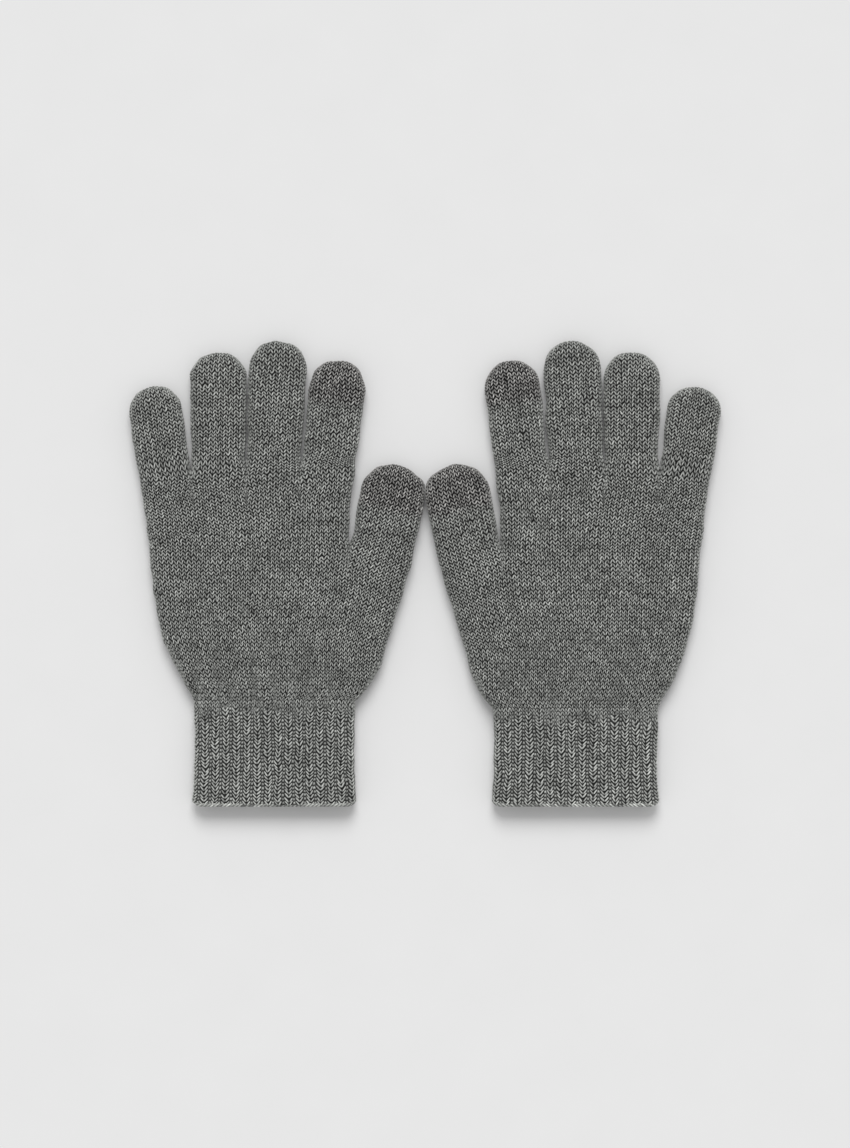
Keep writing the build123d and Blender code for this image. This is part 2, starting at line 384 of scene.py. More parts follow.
class Section:
    """A tube of fabric in courses: a front and a back grid of points."""

    def __init__(self, stitch, first_wale, wales, round_wales, first_course, courses):
        rows = int(courses) * STEPS_ALONG + 1
        self.courses = int(courses)
        across = first_wale + np.arange(wales * STEPS_ACROSS + 1) / STEPS_ACROSS
        along = first_course + np.arange(rows) / STEPS_ALONG
        self.wale = np.stack([across, round_wales - across])
        self.course = along
        looks = [stitch(*np.meshgrid(wale, along)) for wale in self.wale]
        self.rise, self.shade, self.drop = zip(*looks)
        self.ids = None

    def close_wales(self, widths):
        """A wale with no width in a row has all its points in one place."""
        for wale in range(widths.shape[1]):
            closed = widths[:, wale] <= 0
            for step in range(1, STEPS_ACROSS + 1):
                column = wale * STEPS_ACROSS + step
                self.ids[:, closed, column] = self.ids[:, closed, column - 1]

    def quads(self, side, rows, columns):
        """Faces between the given rows and columns of one side, and their stitch coordinates."""
        low, high = np.meshgrid(rows[:-1], columns[:-1], indexing="ij")
        next_row, next_column = np.meshgrid(rows[1:], columns[1:], indexing="ij")
        corners = [(low, high), (low, next_column), (next_row, next_column), (next_row, high)]
        ids = np.stack([self.ids[side][r, c] for r, c in corners], axis=-1).reshape(-1, 4)
        places = [np.stack([self.wale[side][c], self.course[r]], axis=-1) for r, c in corners]
        stitch = np.stack(places, axis=2).reshape(-1, 4, 2)
        if side == 1:
            ids = ids[:, ::-1]
            stitch = stitch[:, ::-1]
        return ids, stitch

    def faces(self, side):
        rows, columns = self.ids.shape[1:]
        return self.quads(side, np.arange(rows), np.arange(columns))[0]


class Cloth:
    """The faces of one piece: an outside, a coarser inside, and rims that close the wall."""

    def __init__(self, fabric):
        self.fabric = fabric
        self.ids = []
        self.stitch = []

    def put(self, ids, stitch):
        self.ids.append(ids)
        self.stitch.append(stitch)

    def patch(self, section, side, first, last):
        """One side of a section, between two courses."""
        columns = np.arange(section.ids.shape[2])
        rows = np.arange(first * STEPS_ALONG, last * STEPS_ALONG + 1)
        self.put(*section.quads(side, rows, columns))
        ids, stitch = section.quads(side, rows[::STEPS_ALONG], columns[::STEPS_ACROSS])
        self.put(ids[:, ::-1] + self.fabric.inner, stitch[:, ::-1])

    def rim(self, ids, wale, course, step):
        """Closes the wall along a border; its points run with the outside on their right."""
        inner = self.fabric.inner
        for start in range(0, len(ids) - 1, step):
            run = np.arange(start, min(start + step, len(ids) - 1) + 1)
            half = len(run) // 2
            fans = [(ids[run[0]] + inner, run[:half + 1]), (ids[run[-1]] + inner, run[half:])]
            for hub, arc in fans:
                faces = [(hub, ids[b], ids[a], ids[a]) for a, b in zip(arc[:-1], arc[1:])]
                stitches = [[(wale[a], course[a])] * 4 for a in arc[:-1]]
                self.put(np.array(faces), np.array(stitches, float))
            between = (ids[run[0]] + inner, ids[run[-1]] + inner, ids[run[half]], ids[run[half]])
            self.put(np.array([between]), np.full((1, 4, 2), (wale[run[0]], course[run[0]]), float))

    def end_rim(self, section, side, row, top):
        """The wall's rim across one side, at a row of points."""
        ids = section.ids[side][row]
        wale = section.wale[side]
        course = np.full(len(ids), section.course[row])
        if (side == 1) != top:
            ids = ids[::-1]
            wale = wale[::-1]
        self.rim(ids, wale, course, STEPS_ACROSS)

    def side_rim(self, section, side, first, last, right):
        """The wall's rim along the fold at one edge of a side."""
        rows = np.arange(first * STEPS_ALONG, last * STEPS_ALONG + 1)
        if (side == 0) != right:
            rows = rows[::-1]
        column = -1 if right else 0
        ids = section.ids[side][rows, column]
        wale = np.full(len(rows), section.wale[side][column])
        self.rim(ids, wale, section.course[rows], STEPS_ALONG)

    def tube(self, section, first, last, closed_end=False):
        for side in (0, 1):
            self.patch(section, side, first, last)
            self.end_rim(section, side, first * STEPS_ALONG, top=False)
            if not closed_end:
                self.end_rim(section, side, last * STEPS_ALONG, top=True)
        return self

    def half(self, section, side, first, last):
        self.patch(section, side, first, last)
        self.end_rim(section, side, first * STEPS_ALONG, top=False)
        self.end_rim(section, side, last * STEPS_ALONG, top=True)
        self.side_rim(section, side, first, last, right=False)
        self.side_rim(section, side, first, last, right=True)
        return self


class Digit:
    """Axis, length and widths of a finger or thumb, measured on its CAD nodes."""

    def __init__(self, glove, name, touch):
        base = glove.joint_at(name + "_base_bend")[:2]
        bend = glove.joint_at(name + "_end_bend")[:2]
        self.name = name
        self.base = base
        self.bend = float(np.linalg.norm(bend - base))
        self.axis = (bend - base) / self.bend
        self.across = np.array([self.axis[1], -self.axis[0]])
        nodes = [name + "_lower", name + "_upper"] + ([name + "_touch_tip"] if touch else [])
        plan = np.concatenate([glove.plan_of(node) for node in nodes])
        along = (plan - base) @ self.axis
        out = np.abs((plan - base) @ self.across)
        self.length = along.max() - INSET
        self.base_half = out[along < 4 * MM].max() - INSET
        self.tip_half = out.max() - INSET
        self.straight = self.length - self.tip_half
        self.touch = None
        if touch:
            tip_plan = glove.plan_of(name + "_touch_tip")
            self.touch = ((tip_plan - base) @ self.axis).min()

    def half_at(self, along):
        share = np.clip(along / self.straight, 0, 1)
        return self.base_half + share * (self.tip_half - self.base_half)

    def at(self, along):
        return self.base + along * self.axis


class Glove:
    """Places and sizes of one glove, read from the frame."""

    def __init__(self, hand, seed):
        self.hand = hand
        self.seed = seed
        cuff_low, cuff_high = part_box(hand + "_rib_cuff")
        edge_low, edge_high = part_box(hand + "_cuff_edge")
        elastic_low, elastic_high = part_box(hand + "_cuff_elastic")
        self.middle = (cuff_low.x + cuff_high.x) / 2
        self.sign = -1 if self.middle > 0 else 1
        self.start = edge_low.y
        self.cuff_half = (cuff_high.x - cuff_low.x) / 2
        self.cuff_top = cuff_high.y - self.start
        self.edge_top = edge_high.y - self.start
        self.elastic = (elastic_low.y - self.start, elastic_high.y - self.start)
        palm_low, palm_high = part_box(hand + "_upper_palm")
        self.fork_y = palm_low.y - self.start
        self.height = palm_high.z
        self.half_height = self.height / 2 - LIFT
        self.knuckle_y = self.joint_at("index_base_bend")[1]
        outlines = OUTLINES[hand]
        self.outer = curve_through(outlines["outer"])
        self.thumb_edge = curve_through(outlines["thumb"])
        self.index_edge = curve_through(INDEX_SIDE)
        self.ripple = Ripple(seed + 5, *RIPPLE_SIZES)
        self.wander = Ripple(seed + 6, *WANDER_SIZES)
        self.wander_across = Ripple(seed + 7, *WANDER_SIZES)
        self.folds = Ripple(seed + 8, *GATHER_SIZES, count=9)

    def gathers(self, x, y):
        return self.folds(x, GATHER_STRETCH * y)

    def corner_rise(self, x, y):
        """The cuff's edge turns up a little beside the folds."""
        beside = np.clip((np.abs(x) - self.cuff_half + CORNER_REACH) / CORNER_REACH, 0, 1)
        return CORNER_RISE * beside ** 2.5 * smooth(1 - y / (4 * CORNER_REACH))

    def to_row(self, points):
        out = np.array(points, float)
        out[..., 0] = self.middle + self.sign * out[..., 0]
        out[..., 1] = out[..., 1] + self.start
        return out

    def joint_at(self, name):
        x, y, z = JOINTS[self.hand + "_" + name]["pos_m"]
        return np.array([self.sign * (x - self.middle), y - self.start, z])

    def plan_of(self, node):
        """Plan coordinates of a CAD node's points."""
        mesh = frame["nodes"][self.hand + "_" + node].data
        co = np.array([v.co for v in mesh.vertices])
        return np.stack([self.sign * (co[:, 0] - self.middle), co[:, 1] - self.start], axis=-1)

    def place(self, plan, z):
        """A point of the plan in the row frame."""
        return tuple(self.to_row([plan[0], plan[1], z]))


def roll(distance, radius, height):
    """Height over the mid-plane of fabric that starts its fold at an edge, distance away."""
    d = np.clip(distance / radius, 0, 1)
    return height * np.sqrt(np.clip(1 - (1 - d) ** 2, 0, 1))


def spread(arc, pins, pin_columns, weights):
    """Places along a row for every mesh column. Between two pins the wales share the length by
    their weights. arc and pins are lengths along the row."""
    edges = np.zeros(len(weights) + 1)
    marks = [0] + list(pin_columns) + [len(weights)]
    lengths = [0.0] + list(pins) + [arc]
    for a, b, low, high in zip(marks[:-1], marks[1:], lengths[:-1], lengths[1:]):
        part = np.concatenate([[0.0], np.cumsum(weights[a:b])])
        edges[a:b + 1] = low + (high - low) * part / part[-1]
    fine = np.arange(len(weights) * STEPS_ACROSS + 1) / STEPS_ACROSS
    return np.interp(fine, np.arange(len(weights) + 1), edges)


def hand_row(glove, x_low, x_high, y_at, cusps, depth, crown, weights, pin_columns):
    """One row of fabric over the hand: front and back points for every mesh column.
    cusps are x places where front and back meet, depth how far they do, 0 to 1."""
    half = glove.half_height
    middle = glove.height / 2
    marks = [x_low, x_high] + list(cusps)
    angle = np.linspace(0, math.pi / 2, 24)
    near = SIDE_RADIUS * (1 - np.cos(angle))
    q = [np.linspace(x_low, x_high, 240)]
    for mark in marks:
        q += [mark + near, mark - near]
    q = np.unique(np.clip(np.concatenate(q), x_low, x_high))
    z = roll(np.minimum(q - x_low, x_high - q), SIDE_RADIUS, half)
    for cusp, share in zip(cusps, depth):
        pinched = roll(np.abs(q - cusp), CROTCH_RADIUS, half)
        z = z + share * (np.minimum(z, pinched) - z)
    across = 2 * (q - x_low) / (x_high - x_low) - 1
    fuller = crown * np.clip(1 - across ** 2, 0, 1) * (z / half)
    y = y_at(q)
    out = []
    for height in (z + fuller, -z):
        step = np.sqrt(np.diff(q) ** 2 + np.diff(y) ** 2 + np.diff(height) ** 2)
        arc = np.concatenate([[0.0], np.cumsum(step)])
        pins = np.interp(cusps, q, arc)
        places = spread(arc[-1], pins, pin_columns, weights)
        row = np.stack([np.interp(places, arc, q), np.interp(places, arc, y),
                        middle + np.interp(places, arc, height)], axis=-1)
        out.append(row)
    return out


def cuff_columns():
    """For every mesh column of the lower palm's first row, the cuff's column that it grows from."""
    widths = np.ones(PALM_WALES, int)
    widths[list(CROTCH_WALES + FORK_WALES + HEEL_WALES)] = 0
    return np.concatenate([[0], np.cumsum(np.repeat(widths, STEPS_ACROSS))])


def leave(grids, fabric, first, courses):
    """Starts a section's rows from the points of the row below, and leaves them gently."""
    for side, grid in enumerate(grids):
        fade = 1 - smooth(np.arange(len(grid)) / (courses * STEPS_ALONG))
        grid += fade[:, None, None] * (fabric.points[first[side]] - grid[0])


def grow(fabric, section, first, rows, widths, welds):
    """Adds a section, given its rows of front and back points, above the row it grows from. Its
    front and back meet in the last row at the ends of the wales in welds."""
    grids = [np.array(side) for side in zip(*rows)]
    leave(grids, fabric, first, JOIN_COURSES)
    fabric.add(section, *grids, first=first)
    section.close_wales(np.array(widths))
    section.ids[:, 0] = first
    for wale in welds:
        section.ids[1, -1, wale * STEPS_ACROSS] = section.ids[0, -1, wale * STEPS_ACROSS]
    return section


def lower_palm(glove, knit, fabric, thumb, cuff):
    """From the cuff to the thumb's fork. The rows on the thumb's side tilt until they are
    square to the thumb."""
    courses = round((glove.fork_y - glove.cuff_top) / COURSE)
    section = Section(knit.plain, 0, PALM_WALES, RING_WALES, cuff.courses, courses)
    last = courses * STEPS_ALONG
    fork_x = float(glove.index_edge(glove.fork_y))
    growth = FORK_GROWTH * STEPS_ALONG
    first = cuff.ids[:, -1, cuff_columns()]
    rows, widths = [], []
    for row in range(last + 1):
        t = row / last
        level = glove.cuff_top + t * (glove.fork_y - glove.cuff_top)
        tilt = t * -thumb.across[1] / thumb.across[0]
        share = float(smooth((row - (last - growth)) / growth))
        weights = np.ones(PALM_WALES)
        weights[list(FORK_WALES)] = share
        weights[list(CROTCH_WALES)] = 0
        weights[list(HEEL_WALES)] = float(smooth(row / (HEEL_GROWTH * STEPS_ALONG)))
        widths.append(weights)
        x_low = float(glove.outer(level)) + INSET
        x_high = float(glove.thumb_edge(level))
        for _ in range(4):
            natural = x_low + weights[:HAND_WALES].sum() / weights.sum() * (x_high - x_low)
            x_fork = natural + (fork_x - natural) * smooth(t * t)
            x_high = float(glove.thumb_edge(level - tilt * (x_high - x_fork))) - INSET
        deep = (level - glove.fork_y + FORK_CREASE) / FORK_CREASE
        depth = float(np.clip(deep, 0, 1)) ** CREASE_FADE
        rows.append(hand_row(glove, x_low, x_high,
                             lambda q: level - tilt * np.clip(q - x_fork, 0, None),
                             [x_fork], [depth], 2 * CROWN, weights, [HAND_WALES]))
    return grow(fabric, section, first, rows, widths, [HAND_WALES])


def upper_palm(glove, knit, fabric, below):
    """From the thumb's fork to the knuckles."""
    courses = round((glove.knuckle_y - glove.fork_y) / COURSE)
    section = Section(knit.plain, 0, HAND_WALES, RING_WALES, round(below.course[-1]), courses)
    last = courses * STEPS_ALONG
    columns = HAND_WALES * STEPS_ACROSS + 1
    first = below.ids[:, -1, :columns]
    pin_columns = [FINGER_WALES * number for number in (1, 2, 3)]
    growth = CROTCH_GROWTH * STEPS_ALONG
    crease = CROTCH_CREASE / COURSE * STEPS_ALONG
    from_x = [fabric.points[first[0, column * STEPS_ACROSS], 0] for column in pin_columns]
    to_x = [x * MM for x in CROTCHES]
    rows, widths = [], []
    for row in range(last + 1):
        t = row / last

        def level(x):
            top = glove.knuckle_y + KNUCKLE_TILT * (x - KNUCKLE_LEVEL)
            return glove.fork_y + t * (top - glove.fork_y)

        x_low = float(glove.outer(level(PALM_SIDES[0]))) + INSET
        x_high = float(glove.index_edge(level(PALM_SIDES[1]))) - INSET * smooth(3 * t)
        cusps = [a + (b - a) * float(smooth(t)) for a, b in zip(from_x, to_x)]
        share = float(smooth((row - (last - growth)) / growth))
        depth = float(np.clip(1 - (last - row) / crease, 0, 1)) ** CREASE_FADE
        weights = np.ones(HAND_WALES)
        weights[list(CROTCH_WALES)] = share
        widths.append(weights)
        rows.append(hand_row(glove, x_low, x_high, level, cusps, [depth] * 3, 2 * CROWN,
                             weights, pin_columns))
    return grow(fabric, section, first, rows, widths, pin_columns)


def fold_over(arc, half, height):
    """Distance from the middle and height of a point, from its length along the fabric. half is
    the distance from the middle to the fold, and may be an array like arc."""
    angle = np.linspace(0, math.pi / 2, 60)
    steps = np.hypot(np.diff(SIDE_RADIUS * np.sin(angle)), np.diff(height * np.cos(angle)))
    quarter = np.concatenate([[0.0], np.cumsum(steps)])
    flat = half - SIDE_RADIUS
    turned = np.interp(arc - flat, quarter, angle)
    out = np.where(arc < flat, arc, flat + SIDE_RADIUS * np.sin(turned))
    return out, height * np.cos(turned), flat + quarter[-1]


def digit_tube(glove, knit, fabric, digit, below, first_wale, wales, join):
    """A finger or thumb: a tapered tube that ends in a rounded, closed tip."""
    middle = glove.height / 2
    height = glove.half_height
    straight = max(1, round(digit.straight / COURSE))
    reach = fold_over(np.zeros(1), digit.tip_half, height)[2]
    tip = round(reach / COURSE)
    first_course = round(below.course[-1])
    section = Section(knit.plain, first_wale, wales, RING_WALES, first_course, straight + tip)
    columns = slice(first_wale * STEPS_ACROSS, (first_wale + wales) * STEPS_ACROSS + 1)
    first = below.ids[:, -1, columns]
    a = np.linspace(-1, 1, wales * STEPS_ACROSS + 1)[None, :]
    rows = (straight + tip) * STEPS_ALONG + 1
    course = (np.arange(rows) / STEPS_ALONG)[:, None]
    along = np.minimum(course / straight, 1) * digit.straight
    up = np.clip((course - straight) / tip, 0, 1)
    side = a * np.sqrt(1 - up ** 2 / 2)
    ahead = up * np.sqrt(1 - a ** 2 / 2)
    radius = np.hypot(side, ahead)
    half = digit.half_at(along) + 0 * a
    unrolled = fold_over(np.zeros_like(half), half, height)[2]
    out, z, _ = fold_over(radius * unrolled, half, height)
    scale = out / np.maximum(radius, 1e-9)
    x = side * scale
    y = along + ahead * scale
    slim = smooth(along / SLIM_START) * (1 - smooth((along - SLIM_END[0]) / SLIM_END[1]))
    low, high = SLIM_SIDES[digit.name]
    x = x * (1 - np.where(a < 0, low, high) * slim * SLIM_INSIDE / half)
    x = x * (1 + SQUARE_TIP * np.clip((y - digit.straight) / digit.tip_half, 0, 1) ** 2)
    z = z * (1 + CROWN / height * np.clip(1 - (out / half) ** 2, 0, 1))
    plan = digit.base + x[..., None] * digit.across + y[..., None] * digit.axis
    front = np.concatenate([plan, (middle + z)[..., None]], axis=-1)
    back = np.concatenate([plan, (middle - z / (1 + CROWN / height))[..., None]], axis=-1)
    leave((front, back), fabric, first, join)
    fabric.add(section, front, back, first=first, zipped=True)
    section.straight = straight
    return section


def cuff_tube(glove, knit, fabric):
    """The ribbed cuff, from inside the overlocked edge to the palm."""
    low = glove.edge_top / 3
    high = glove.cuff_top
    courses = round((high - low) / CUFF_COURSE)
    section = Section(knit.rib, 0, CUFF_WALES, 2 * CUFF_WALES, 0, courses)
    weights = np.where(np.arange(CUFF_WALES) % RIB_WALES == RIB_WALES - 1, PURL_WIDTH, 1.0)
    last = courses * STEPS_ALONG
    rows = []
    for row in range(last + 1):
        y = low + (high - low) * row / last
        flare = CUFF_FLARE * math.exp(-y / FLARE_REACH) - CUFF_WAIST * math.sin(math.pi * y / high)
        half = glove.cuff_half - INSET + flare
        rows.append(hand_row(glove, -half, half, lambda q: np.full_like(q, y), [], [],
                             CROWN, weights, []))
    fabric.add(section, *[np.array(side) for side in zip(*rows)])
    return section


def mesh_piece(name, glove, points, yarn, faces, stitch, slot, nodes):
    """Makes a mesh object from points in glove coordinates, without unused points. Faces are
    rows of four point numbers; one with two equal neighbours is a triangle. yarn has the yarn's
    height and lightness at each point."""
    if glove.sign < 0:
        faces = faces[:, ::-1]
        stitch = stitch[:, ::-1]
    used, compact = np.unique(faces, return_inverse=True)
    compact = compact.reshape(faces.shape)
    points = glove.to_row(points[used])
    repeated = compact == np.roll(compact, -1, axis=1)
    count = repeated.sum(axis=1)
    whole = count == 0
    narrow = count == 1
    kept = ~repeated[narrow]
    corners = np.concatenate([compact[whole].reshape(-1), compact[narrow][kept]])
    values = np.concatenate([stitch[whole].reshape(-1, 2), stitch[narrow][kept]])
    sizes = np.concatenate([np.full(whole.sum(), 4), np.full(narrow.sum(), 3)])
    mesh = bpy.data.meshes.new(name)
    mesh.vertices.add(len(points))
    mesh.vertices.foreach_set("co", points.astype(np.float32).ravel())
    mesh.loops.add(len(corners))
    mesh.loops.foreach_set("vertex_index", corners.astype(np.int32))
    mesh.polygons.add(len(sizes))
    starts = np.concatenate([[0], np.cumsum(sizes)[:-1]])
    mesh.polygons.foreach_set("loop_start", starts.astype(np.int32))
    mesh.update(calc_edges=True)
    mesh.shade_smooth()
    from_start = values[:, 1:] - values[:, 1].min()
    knit = np.concatenate([values, from_start], axis=1)
    height_and_shade = np.concatenate([yarn[used], np.zeros((len(used), 1))], axis=1)
    for label, domain, parts in (("knit", "CORNER", knit), ("yarn", "POINT", height_and_shade)):
        attribute = mesh.attributes.new(label, "FLOAT_VECTOR", domain)
        attribute.data.foreach_set("vector", parts.astype(np.float32).ravel())
    mesh.materials.append(YARNS[slot])
    piece = add_object(name, mesh)
    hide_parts(*[glove.hand + "_" + node for node in nodes])
    return piece


def cloth_piece(name, glove, cloth, slot, nodes):
    fabric = cloth.fabric
    faces = np.concatenate(cloth.ids)
    stitch = np.concatenate(cloth.stitch)
    yarn = np.stack([fabric.rise, fabric.shade], axis=-1)
    return mesh_piece(glove.hand + "_" + name, glove, fabric.points, yarn, faces, stitch,
                      slot, nodes)


def band_path(half, height, count):
    """Points round a flattened tube in the plane across the cuff, and their outward directions."""
    turned = np.linspace(0, 2 * math.pi, 720, endpoint=False)
    x = (half - SIDE_RADIUS) * np.sign(np.cos(turned)) + SIDE_RADIUS * np.cos(turned)
    z = height * np.sin(turned)
    loop = np.stack([np.append(x, x[0]), np.append(z, z[0])], axis=-1)
    lengths = np.concatenate([[0.0], np.cumsum(np.linalg.norm(np.diff(loop, axis=0), axis=1))])
    places = np.linspace(0, lengths[-1], count, endpoint=False)
    path = np.stack([np.interp(places, lengths, part) for part in loop.T], axis=-1)
    ahead = np.roll(path, -1, axis=0) - np.roll(path, 1, axis=0)
    ahead /= np.linalg.norm(ahead, axis=1, keepdims=True)
    outward = np.stack([ahead[:, 1], -ahead[:, 0]], axis=-1)
    return path, outward, lengths[-1]


def ring_faces(count, around, start):
    i = np.arange(count)[:, None]
    j = np.arange(around)[None, :]
    ahead = (i + 1) % count
    turn = (j + 1) % around
    quad = [i * around + j, i * around + turn, ahead * around + turn, ahead * around + j]
    return np.stack(quad, axis=-1).reshape(-1, 4) + start


def band(half, height, middle, y_middle, radius_out, radius_y, relief, count, around):
    """A ring of yarn or edging round the cuff; relief swells its section, place by place."""
    path, outward, _ = band_path(half, height, count)
    turn = np.arange(around) * 2 * math.pi / around
    swell, yarn = relief(np.arange(count)[:, None] / count + 0 * turn, turn[None, :])
    off = radius_out * swell * np.cos(turn)[None, :]
    rise = radius_y * swell * np.sin(turn)[None, :]
    x = path[:, 0, None] + off * outward[:, 0, None]
    z = middle + path[:, 1, None] + off * outward[:, 1, None]
    y = y_middle + rise
    return np.stack([x, y, z], axis=-1).reshape(-1, 3), yarn.reshape(-1, 2)


def cuff_edge(glove):
    """Overlocking: thread wrapped slantwise over the edge, as thick as the folded rib."""
    pitch = 2.05 * MM
    slant = 0.6              # of a wrap, in wraps
    core = 0.82              # thickness between the wraps, and what a wrap adds
    wrap = 0.26
    unevenness = 0.06
    middle = glove.height / 2
    radius_y = 0.95 * MM
    radius_out = 1.15 * MM
    half = glove.cuff_half + 0.3 * MM - radius_out
    height = middle - radius_out - 0.15 * MM
    count = 760
    around = 14
    draw = np.random.default_rng(glove.seed + 41)
    wraps = round(band_path(half, height, count)[2] / pitch)
    uneven = draw.normal(0, unevenness, wraps)
    shades = draw.normal(0, 1, wraps)

    def relief(share, turn):
        place = share * wraps + slant * np.sin(turn)
        within = np.abs(np.mod(place, 1) - 0.5) * 2
        index = np.mod(np.floor(place).astype(int), wraps)
        round_yarn = np.sqrt(np.clip(1 - within ** 2, 0, 1))
        swell = core + wrap * round_yarn * (1 + uneven[index])
        # round_yarn is also the height that sets the painted shade between the wraps
        return swell, np.stack([round_yarn, shades[index]], axis=-1)

    points, yarn = band(half, height, middle, 1.05 * radius_y, radius_out, radius_y, relief,
                        count, around)
    points[:, 1] += glove.corner_rise(points[:, 0], points[:, 1])
    faces = ring_faces(count, around, 0)
    i = faces // around
    j = faces % around
    wrap_last = (i == 0) & (np.roll(i, 1, axis=1) > 1).any(axis=1)[:, None]
    along = np.where(wrap_last, count, i) / count * wraps
    stitch = np.stack([along, 2.0 * j / around], axis=-1)
    return mesh_piece(glove.hand + "_overlocked_edge", glove, points, yarn, faces, stitch,
                      "overlock_yarn", ["cuff_edge"])


def elastic_loops(glove):
    """Elastic yarn laid into the rib, between its outer and inner yarns."""
    loops = 8
    radius = 0.28 * MM
    waves = 32
    wave_height = 0.15 * MM
    count = 300
    around = 8
    inset = 2.2 * MM
    middle = glove.height / 2
    low, high = glove.elastic
    levels = np.linspace(low + radius, high - radius, loops)
    all_points, all_faces = [], []

    def even(share, turn):
        flat = np.ones_like(share + turn)
        # a fixed height of 0.8, which gives the elastic an even share of painted gap shade
        return flat, np.stack([0.8 * flat, 0 * flat], axis=-1)

    for number, level in enumerate(levels):
        points, yarn = band(glove.cuff_half - inset, middle - inset, middle, level, radius, radius,
                            even, count, around)
        wave = wave_height * np.sin(np.arange(count) * 2 * math.pi * waves / count + number)
        points[:, 1] += np.repeat(wave, around) + glove.corner_rise(points[:, 0], points[:, 1])
        all_points.append(points)
        all_faces.append(ring_faces(count, around, number * count * around))
    faces = np.concatenate(all_faces)
    stitch = np.zeros(faces.shape + (2,))
    return mesh_piece(glove.hand + "_elastic_yarn", glove, np.concatenate(all_points),
                      np.tile(yarn, (loops, 1)), faces, stitch, "elastic_yarn",
                      ["cuff_elastic"])


# --- materials


class Shader:
    """A small helper for writing node materials."""

    def __init__(self, name):
        self.material = bpy.data.materials.new(name)
        self.material.use_nodes = True
        self.tree = self.material.node_tree
        self.tree.nodes.clear()

    def node(self, kind, **settings):
        node = self.tree.nodes.new(kind)
        for key, value in settings.items():
            setattr(node, key, value)
        return node

    def link(self, value, socket):
        if isinstance(value, (int, float, tuple)):
            socket.default_value = value
        else:
            self.tree.links.new(value, socket)

    def fill(self, node, *values):
        """Fills a node's inputs in order."""
        for value, socket in zip(values, node.inputs):
            self.link(value, socket)
        return node.outputs[0]

    def math(self, operation, *values):
        return self.fill(self.node("ShaderNodeMath", operation=operation), *values)

    def combine(self, x, y, z):
        return self.fill(self.node("ShaderNodeCombineXYZ"), x, y, z)

    def noise(self, vector, scale, detail=2.0):
        node = self.node("ShaderNodeTexNoise", noise_dimensions="3D")
        self.link(vector, node.inputs["Vector"])
        node.inputs["Scale"].default_value = scale
        node.inputs["Detail"].default_value = detail
        return node.outputs["Fac"]

    def ramp(self, value, stops):
        node = self.node("ShaderNodeValToRGB")
        elements = node.color_ramp.elements
        while len(elements) < len(stops):
            elements.new(0.5)
        for element, (position, colour) in zip(elements, stops):
            element.position = position
            element.color = (*colour, 1)
        self.link(value, node.inputs[0])
        return node.outputs[0]

    def surface(self, colour, roughness, specular):
        """The material's surface, wired to its output."""
        surface = self.node("ShaderNodeBsdfPrincipled")
        self.link(colour, surface.inputs["Base Color"])
        surface.inputs["Roughness"].default_value = roughness
        surface.inputs["Specular IOR Level"].default_value = specular
        output = self.node("ShaderNodeOutputMaterial")
        self.link(surface.outputs[0], output.inputs["Surface"])
        return surface

    def mix(self, mode, share, low, high):
        node = self.node("ShaderNodeMix", data_type="RGBA", blend_type=mode)
        colours = [socket for socket in node.inputs if socket.type == "RGBA"]
        self.link(share, node.inputs["Factor"])
        self.link(low, colours[0])
        self.link(high, colours[1])
        return [socket for socket in node.outputs if socket.type == "RGBA"][0]


def tint(level, hue):
    return tuple(level * part for part in hue)


HUE = (0.975, 1.0, 0.955)            # the heather's grey is slightly green
TOUCH_HUE = (1.0, 0.985, 0.955)      # the conductive yarn's is slightly brown
# lightness of the mixed yarn, from its darkest fibres to its lightest
HEATHER = [(0.0, 0.11), (0.30, 0.297), (0.50, 0.52), (0.70, 0.79), (1.0, 0.98)]
TOUCH_HEATHER = [(0.0, 0.09), (0.30, 0.25), (0.50, 0.50), (0.70, 0.81), (1.0, 1.0)]
FIBRE_SIZES = ((1.6, 0.30), (3.2, 0.45))    # noise scale per mm, and strength
CLOUDS = (0.05, 0.22)
STREAKS = (0.30, 0.22)       # the yarn is uneven, so courses differ softly
STREAK_STRETCH = 0.2
FUZZ_SCALE = 5.0             # of the fibres' fine relief
# painted shade: share of the yarn's lightness kept at each height, from the gaps between the legs,
# painted near black, to the tops of the legs
OPEN_GAP_SHADE = [(0.26, 0.01), (0.72, 0.46), (0.98, 1.0)]
RIB_GAP_SHADE = [(0.26, 0.03), (0.66, 0.52), (0.94, 1.0)]
TOUCH_GAP_SHADE = [(0.34, 0.0), (0.78, 0.44), (0.98, 1.0)]
TOUCH_FADE = 2.5             # courses over which the conductive yarn takes over


def attribute_parts(shader, name):
    attribute = shader.node("ShaderNodeAttribute", attribute_name=name)
    parts = shader.node("ShaderNodeSeparateXYZ")
    shader.link(attribute.outputs["Vector"], parts.inputs[0])
    return parts.outputs


def yarn_colour_with_gap_shade(shader, value, height, stops, hue, depth):
    colour = shader.ramp(value, [(position, tint(level, hue)) for position, level in stops])
    # painted shade: the colour is darkened by the yarn's height through depth's stops, most in the
    # gaps between the legs
    painted_gap_shade = shader.ramp(height, [(position, (level,) * 3) for position, level in depth])
    return shader.mix("MULTIPLY", 1.0, colour, painted_gap_shade)


